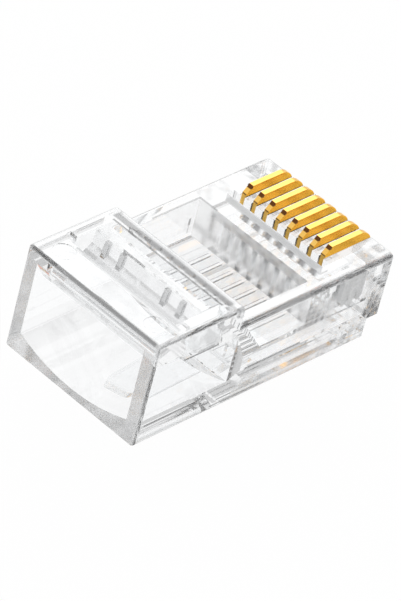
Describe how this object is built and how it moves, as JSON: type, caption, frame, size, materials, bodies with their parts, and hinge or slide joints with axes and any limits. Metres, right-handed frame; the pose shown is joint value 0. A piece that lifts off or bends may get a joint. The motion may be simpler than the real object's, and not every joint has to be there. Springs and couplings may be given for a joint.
{
  "type": "modular cable plug",
  "caption": "Clear modular cable plug with a row of raised gold contacts, a sprung locking latch underneath and a hinged cable clamp in its window.",
  "frame": {"origin": "centre of the rear face's lower edge: cable end, centre line, flat latch side", "axes": "+Y towards the nose, the way the plug goes into its jack; +Z towards the contacts; +X across the width"},
  "size_m": [0.0116, 0.022, 0.0114],
  "materials": {
    "clear_plastic": "clear moulded polycarbonate, polished outside",
    "gold_contact": "gold plated"
  },
  "bodies": {
    "plug": {"housing": "clear_plastic"},
    "latch": {"latch": "clear_plastic"},
    "jacket_clamp": {"jacket_clamp": "clear_plastic"},
    "contact_1": {"contact_1": "gold_contact"},
    "contact_2": {"contact_2": "gold_contact"},
    "contact_3": {"contact_3": "gold_contact"},
    "contact_4": {"contact_4": "gold_contact"},
    "contact_5": {"contact_5": "gold_contact"},
    "contact_6": {"contact_6": "gold_contact"},
    "contact_7": {"contact_7": "gold_contact"},
    "contact_8": {"contact_8": "gold_contact"}
  },
  "joints": [
    {"name": "latch_hinge", "type": "hinge", "parent": "plug", "child": "latch", "pos_m": [0, 0.02, 0.0001], "axis": [-1, 0, 0], "range_deg": [0, 9.5], "stiffness_Nm_per_rad": 0.1},
    {"name": "clamp_hinge", "type": "hinge", "parent": "plug", "child": "jacket_clamp", "pos_m": [0, 0.00335, 0.00599], "axis": [-1, 0, 0], "range_deg": [0, 30]},
    {"name": "contact_1_press", "type": "slide", "parent": "plug", "child": "contact_1", "axis": [0, 0, -1], "range_m": [0, 0.0011]},
    {"name": "contact_2_press", "type": "slide", "parent": "plug", "child": "contact_2", "axis": [0, 0, -1], "range_m": [0, 0.0011]},
    {"name": "contact_3_press", "type": "slide", "parent": "plug", "child": "contact_3", "axis": [0, 0, -1], "range_m": [0, 0.0011]},
    {"name": "contact_4_press", "type": "slide", "parent": "plug", "child": "contact_4", "axis": [0, 0, -1], "range_m": [0, 0.0011]},
    {"name": "contact_5_press", "type": "slide", "parent": "plug", "child": "contact_5", "axis": [0, 0, -1], "range_m": [0, 0.0011]},
    {"name": "contact_6_press", "type": "slide", "parent": "plug", "child": "contact_6", "axis": [0, 0, -1], "range_m": [0, 0.0011]},
    {"name": "contact_7_press", "type": "slide", "parent": "plug", "child": "contact_7", "axis": [0, 0, -1], "range_m": [0, 0.0011]},
    {"name": "contact_8_press", "type": "slide", "parent": "plug", "child": "contact_8", "axis": [0, 0, -1], "range_m": [0, 0.0011]}
  ]
}
